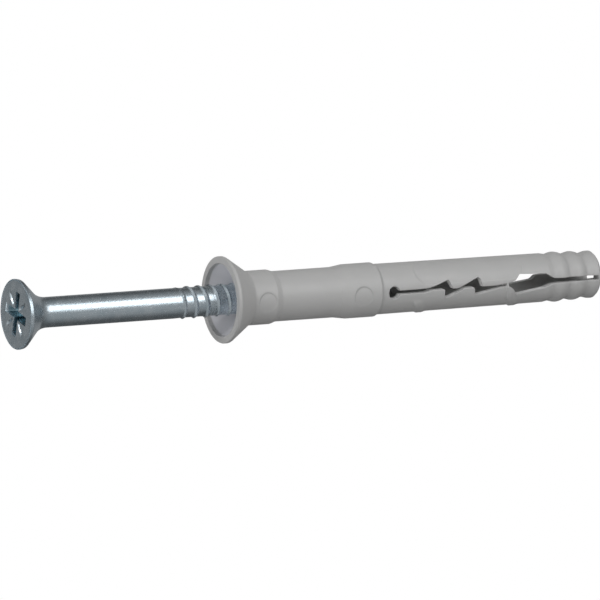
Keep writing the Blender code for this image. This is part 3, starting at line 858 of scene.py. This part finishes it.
class Shader:
    """The nodes of one material or world."""

    def __init__(self, owner):
        owner.use_nodes = True
        self.tree = owner.node_tree
        self.tree.nodes.clear()

    def node(self, kind, settings=None, sockets=None, output=0):
        """Adds a node: its settings first, then the values or links of its sockets. Gives one output."""
        made = self.tree.nodes.new(kind)
        for key, setting in (settings or {}).items():
            setattr(made, key, setting)
        for key, content in (sockets or {}).items():
            if isinstance(content, Value):
                self.tree.links.new(content.socket, made.inputs[key])
            else:
                made.inputs[key].default_value = content
        return Value(self, made.outputs[output]) if made.outputs else None

    def math(self, operation, *inputs):
        """A Math node on numbers and values."""
        return self.node("ShaderNodeMath", {"operation": operation}, dict(enumerate(inputs)))

    def mix(self, factor, first, second):
        """A colour between two colours; the sockets of a Mix node that take colours are 6 and 7."""
        sockets = {0: factor, 6: first, 7: second}
        return self.node("ShaderNodeMix", {"data_type": "RGBA"}, sockets, 2)

    def noise(self, place, scale, detail=2.0, roughness=0.5):
        """Fractal noise from 0 to 1 at a scale in features for each unit of place."""
        sockets = {"Vector": place, "Scale": scale, "Detail": detail, "Roughness": roughness}
        return self.node("ShaderNodeTexNoise", None, sockets)

    def parts(self, vector):
        """The three numbers of a vector."""
        split = self.node("ShaderNodeSeparateXYZ", None, {0: vector})
        return [Value(self, output) for output in split.socket.node.outputs]

    def surface(self, height, sockets):
        """The finished surface: its sockets' values, and a bump of a height in millimetres."""
        bump = self.node("ShaderNodeBump", None, {"Strength": 1.0, "Distance": MM, "Height": height})
        coat = self.node("ShaderNodeBsdfPrincipled", None, {**sockets, "Normal": bump})
        self.node("ShaderNodeOutputMaterial", None, {"Surface": coat})


def opaque(rgb):
    """A colour with full alpha."""
    return (*rgb, 1.0)


def millimetres(shader):
    """Object coordinates in millimetres, measured from the collar's face."""
    place = shader.node("ShaderNodeTexCoord", None, None, "Object")
    settings = {"vector_type": "POINT"}
    sockets = {"Vector": place, "Location": (0.0, 0.0, -COLLAR_PLACE / MM), "Scale": (1 / MM,) * 3}
    return shader.node("ShaderNodeMapping", settings, sockets)


# Depths and edges in millimetres of the bump that sharpens the round marks and the long pad
BUMP_MARK_DEPTH, BUMP_MARK_SLOPE, BUMP_MARK_FADE = 0.042, 0.022, 0.10
BUMP_PANEL_DEPTH, BUMP_PANEL_FADE = 0.040, 0.09

# How much narrower the cone round the collar's recess gets for each unit along
RECESS_LEAN = 0.867


def disc(x, along, middle):
    """1 inside a round mark on the plug's front or back, 0 outside, with a soft edge."""
    reach = ((x - middle[0]) ** 2.0 + (along - middle[1]) ** 2.0) ** 0.5
    return 1.0 - reach.ramp(MARK_RADIUS - BUMP_MARK_FADE, MARK_RADIUS + BUMP_MARK_FADE)


def long_pad(shader, x, y, along):
    """1 inside the long pad on the upper leg, 0 outside: a stadium wrapped on the leg, as in its mesh."""
    turn = shader.math("ARCTAN2", 0.0 - x, 0.0 - y)
    off_end = shader.math("MAXIMUM", abs(along - PANEL_MIDDLE) - PANEL_HALF, 0.0)
    off_side = (turn - PANEL_TURN) * PANEL_LEG
    reach = (off_end ** 2.0 + off_side * off_side) ** 0.5
    return 1.0 - reach.ramp(PANEL_END - BUMP_PANEL_FADE, PANEL_END + BUMP_PANEL_FADE)


def plastic_material(finish):
    """Satin moulded plastic: faint mottling, a fine skin and sharper edges on the marks and the long pad.

    The collar's recess and the gap's thin walls, which light passes through, have paler tones of painted
    light.
    """
    made = bpy.data.materials.new("grey_plastic_finish")
    shader = Shader(made)
    place = millimetres(shader)
    x, y, along = shader.parts(place)
    reach = (x * x + y * y) ** 0.5
    broad = shader.noise(place, 0.35, 3.0)
    fine = shader.noise(place, 6.0, 3.0, 0.6)
    tone = shader.mix(broad * 0.7 + fine * 0.3, opaque(finish.base), opaque(finish.shade))
    # Painted light: the collar's recess is mixed towards its paler, cooler colour
    painted_recess_light = (1.0 - (reach + along * RECESS_LEAN).ramp(6.0, 6.3)) * along.ramp(0.5, 0.75)
    painted_recess_light = painted_recess_light * (1.0 - along.ramp(2.9, 4.2))
    tone = shader.mix(painted_recess_light, tone, opaque(finish.recess))
    # Painted light: the gap's thin walls are mixed towards their paler colour
    painted_gap_light = reach.ramp(2.55, 2.70) * (1.0 - reach.ramp(3.30, 3.48))
    painted_gap_light = painted_gap_light * along.ramp(24.6, 24.9) * (1.0 - along.ramp(50.0, 51.0))
    tone = shader.mix(painted_gap_light, tone, opaque(finish.gap))
    skin = fine * (finish.texture / MM)
    marks = disc(x, along, MARKS[0]) + disc(x, along, MARKS[1])
    pad = long_pad(shader, x, y, along)
    height = skin - marks * (BUMP_MARK_DEPTH - x * BUMP_MARK_SLOPE) - pad * BUMP_PANEL_DEPTH
    shader.surface(height, {
        "Base Color": tone,
        "Roughness": finish.roughness + (fine - 0.5) * 0.10 + (broad - 0.5) * 0.08,
        "IOR": 1.49,
        "Specular IOR Level": 0.45,
    })
    return made


def zinc_material(finish):
    """Zinc plating on a formed steel nail: mottled blue-grey tones, fine pits and drawn streaks.

    Deep inside the cross recess it is darker: painted shade.
    """
    made = bpy.data.materials.new("zinc_plating_finish")
    shader = Shader(made)
    place = millimetres(shader)
    cloud = shader.noise(place, 0.7, 3.0, 0.5)
    speck = shader.noise(place, 5.5, 3.0, 0.65)
    stretched = shader.node("ShaderNodeMapping", None, {"Vector": place, "Scale": (6.0, 6.0, 0.35)})
    streak = shader.noise(stretched, 1.0, 2.0)
    blend = (cloud * 0.45 + speck * 0.30 + streak * 0.25).ramp(0.30, 0.70)
    tone = shader.mix(blend, opaque(finish.dull), opaque(finish.bright))
    x, y, along = shader.parts(place)
    reach = (x * x + y * y) ** 0.5
    depth = along + COLLAR_PLACE / MM
    # Painted shade: deep inside the cross recess the plating is mixed towards the dark recess tone
    painted_cross_shade = (1.0 - (reach + depth * 0.25).ramp(3.30, 3.45)) * depth.ramp(0.30, 0.60)
    painted_cross_shade = painted_cross_shade * (1.0 - depth.ramp(2.75, 3.0))
    tone = shader.mix(painted_cross_shade, tone, opaque(finish.recess))
    cells = {"Vector": place, "Scale": 5.0, "Randomness": 1.0}
    cell = shader.node("ShaderNodeTexVoronoi", {"feature": "F1"}, cells)
    pits = (1.0 - cell.ramp(0.05, 0.32)) * speck.ramp(0.5, 0.7)
    height = (speck * 0.5 - pits) * (finish.pitting / MM)
    shader.surface(height, {
        "Base Color": tone,
        "Metallic": 1.0,
        "Roughness": finish.roughness + (speck - 0.5) * 0.20 + (cloud - 0.5) * 0.08,
    })
    return made


# The stage

# The floor: its hole's radius, its first full ring and its outer radius, and how far it lies below 0
FLOOR_HOLE = 4.9 * MM
FLOOR_START = 6.0 * MM
FLOOR_REACH = 0.7
FLOOR_DROP = 0.00005

# Each lamp's name, size, place, and whether shiny surfaces show it; its power is in the settings
LAMPS = (
    ("key", 0.34, (-0.27, -0.36, 0.22), True),
    ("head", 0.30, (0.03, -0.26, -0.44), True),
    ("side", 0.26, (-0.38, -0.12, -0.28), True),
    ("top", 1.20, (0.0, 0.80, 0.95), True),
    ("back", 0.40, (0.10, 0.47, 0.20), False),
)
LAMP_AIM = (0.0, 0.0, 0.046)
FILL_DIRECTION = (-0.28, -0.89, 0.36)
WHITE = (1.0, 1.0, 1.0, 1.0)


def floor_material(settings):
    """Pale paper that fades out far away and from below; to the camera it is half plain white."""
    made = bpy.data.materials.new("floor_paper")
    shader = Shader(made)
    place = shader.node("ShaderNodeTexCoord", None, None, "Object")
    x, y, _ = shader.parts(place)
    reach = (x * x + y * y) ** 0.5
    behind = shader.node("ShaderNodeNewGeometry", None, None, "Backfacing")
    seen = (1.0 - reach.ramp(0.25, 0.65)) * (1.0 - behind)
    grain = shader.noise(place, 900.0, 2.0)
    tone = shader.mix(grain * 0.06, opaque(settings.floor), (0.8, 0.8, 0.8, 1.0))
    paper = shader.node("ShaderNodeBsdfPrincipled", None, {"Base Color": tone, "Roughness": 0.8})
    clear = shader.node("ShaderNodeBsdfTransparent")
    camera = shader.node("ShaderNodeLightPath", None, None, "Is Camera Ray")
    white = shader.node("ShaderNodeEmission", None, {"Color": WHITE, "Strength": 1.0})
    pale = shader.node("ShaderNodeMixShader", None, {0: camera * 0.5, 1: paper, 2: white})
    surface = shader.node("ShaderNodeMixShader", None, {0: seen, 1: clear, 2: pale})
    shader.node("ShaderNodeOutputMaterial", None, {"Surface": surface})
    return made


def make_floor(settings):
    """A flat ring of floor that faces up, with a hole under the nail's head."""
    rows = np.concatenate([[FLOOR_HOLE], np.geomspace(FLOOR_START, FLOOR_REACH, 22)])
    turns = np.linspace(0, 2 * math.pi, 97)[:-1]
    level = np.broadcast_to(-FLOOR_DROP, (len(rows), len(turns)))
    points = np.stack([rows[:, None] * np.cos(turns), rows[:, None] * np.sin(turns), level], axis=-1)
    mesh = bpy.data.meshes.new("floor")
    upwards = ring_quads(*level.shape)[..., ::-1]
    mesh.from_pydata(points.reshape(-1, 3), [], upwards.reshape(-1, 4))
    mesh.materials.append(floor_material(settings))
    floor = bpy.data.objects.new("floor", mesh)
    floor.visible_shadow = False
    bpy.context.scene.collection.objects.link(floor)


def make_lamp(name, power, size, place, mirrored):
    """A square soft lamp that faces the fixing; mirrored tells whether shiny surfaces show it."""
    data = bpy.data.lights.new(name, "AREA")
    data.energy = power
    data.size = size
    lamp = bpy.data.objects.new(name, data)
    lamp.location = place
    lamp.rotation_euler = (Vector(LAMP_AIM) - Vector(place)).to_track_quat("-Z", "Y").to_euler()
    lamp.visible_glossy = mirrored
    bpy.context.scene.collection.objects.link(lamp)


def make_world(settings):
    """Grey light from all round, a broad fill from the front and light from below on the head's face.

    Straight above the fixing it is a quarter weaker. The camera and clear rays see white instead.
    """
    world = bpy.context.scene.world or bpy.data.worlds.new("studio")
    bpy.context.scene.world = world
    shader = Shader(world)
    camera = shader.node("ShaderNodeLightPath", None, None, "Is Camera Ray")
    clear = shader.node("ShaderNodeLightPath", None, None, "Is Transmission Ray")
    white = shader.math("MAXIMUM", camera, clear)
    direction = shader.node("ShaderNodeTexCoord", None, None, "Generated")
    sockets = {0: direction, 1: FILL_DIRECTION}
    facing = shader.node("ShaderNodeVectorMath", {"operation": "DOT_PRODUCT"}, sockets, "Value")
    _, _, height = shader.parts(direction)
    light = settings.ambient + facing.ramp(-0.2, 0.9) * settings.fill
    light = light * (1.0 - height.ramp(0.60, 0.90) * 0.25)
    light = light + (0.0 - height).ramp(0.2, 0.95) * settings.under
    strength = white + (1.0 - white) * light
    sky = shader.node("ShaderNodeBackground", None, {"Color": WHITE, "Strength": strength})
    shader.node("ShaderNodeOutputWorld", None, {"Surface": sky})


def make_camera(settings):
    """The camera at the photograph's angle, on its side because the fixing lies on its side there."""
    azimuth, elevation = settings.azimuth, settings.elevation
    back = Vector((
        math.sin(azimuth) * math.cos(elevation),
        -math.cos(azimuth) * math.cos(elevation),
        math.sin(elevation),
    ))
    level = Vector((math.cos(azimuth), math.sin(azimuth), 0.0))
    above = back.cross(level)
    right = level * math.cos(settings.roll) + above * math.sin(settings.roll)
    upright = above * math.cos(settings.roll) - level * math.sin(settings.roll)
    data = bpy.data.cameras.new("camera")
    data.lens = settings.lens
    data.sensor_width = 36.0
    camera = bpy.data.objects.new("camera", data)
    turn = Matrix((right, upright, back)).transposed().to_4x4()
    camera.matrix_world = Matrix.Translation(Vector(CAMERA_AIM) + back * settings.distance) @ turn
    bpy.context.scene.collection.objects.link(camera)
    bpy.context.scene.camera = camera


# Operators, panel and registration


class FIXING_OT_plug(bpy.types.Operator):
    """Build the slotted plastic plug"""

    bl_idname = "fixing.plug"
    bl_label = "Plug"

    def execute(self, context):
        """Makes the plug's surface and material."""
        points, quads = plug_surface(context.scene.fixing_plug)
        coat = plastic_material(context.scene.fixing_plastic)
        make_piece("slotted_plug", points, quads, coat, "plug", "plug")
        return {"FINISHED"}


class FIXING_OT_nail(bpy.types.Operator):
    """Build the zinc-plated nail screw"""

    bl_idname = "fixing.nail"
    bl_label = "Nail Screw"

    def execute(self, context):
        """Makes the nail's surface and material."""
        points, quads = nail_surface(context.scene.fixing_nail)
        coat = zinc_material(context.scene.fixing_zinc)
        make_piece("zinc_nail", points, quads, coat, "nail", "nail_screw")
        return {"FINISHED"}


class FIXING_OT_stage(bpy.types.Operator):
    """Set up the floor, the lamps and the camera"""

    bl_idname = "fixing.stage"
    bl_label = "Stage"

    def execute(self, context):
        """Makes the white surroundings, the floor, the lamps and the camera."""
        settings = context.scene.fixing_stage
        context.scene.view_settings.view_transform = "Standard"
        make_world(settings)
        make_floor(settings)
        for name, size, place, mirrored in LAMPS:
            power = getattr(settings, f"{name}_power")
            make_lamp(f"{name}_lamp", power, size, place, mirrored)
        make_camera(settings)
        return {"FINISHED"}


class FIXING_PT_panel(bpy.types.Panel):
    """Lists the fixing's pieces, sizes and colours"""

    bl_label = "Hammer Fixing"
    bl_idname = "FIXING_PT_panel"
    bl_space_type = "VIEW_3D"
    bl_region_type = "UI"
    bl_category = "Fixing"

    def draw(self, context):
        """Draws each operator with the settings that it reads."""
        for operator, groups in STEPS:
            self.layout.operator(operator.bl_idname)
            for group in groups:
                settings = getattr(context.scene, group)
                column = self.layout.column(align=True)
                for name in settings.__annotations__:
                    column.prop(settings, name)


GROUPS = {
    "fixing_plug": PlugSizes,
    "fixing_nail": NailSizes,
    "fixing_plastic": PlasticFinish,
    "fixing_zinc": ZincFinish,
    "fixing_stage": StageSettings,
}
STEPS = (
    (FIXING_OT_plug, ("fixing_plug", "fixing_plastic")),
    (FIXING_OT_nail, ("fixing_nail", "fixing_zinc")),
    (FIXING_OT_stage, ("fixing_stage",)),
)
CLASSES = (*GROUPS.values(), FIXING_OT_plug, FIXING_OT_nail, FIXING_OT_stage, FIXING_PT_panel)


def register():
    """Adds the classes, and the settings to the scene."""
    for item in CLASSES:
        bpy.utils.register_class(item)
    for name, group in GROUPS.items():
        setattr(bpy.types.Scene, name, bpy.props.PointerProperty(type=group))


def unregister():
    """Takes them away again."""
    for name in GROUPS:
        delattr(bpy.types.Scene, name)
    for item in reversed(CLASSES):
        bpy.utils.unregister_class(item)


def main():
    """Builds every piece and the stage."""
    register()
    bpy.ops.fixing.plug()
    bpy.ops.fixing.nail()
    bpy.ops.fixing.stage()


if __name__ == "__main__":
    main()
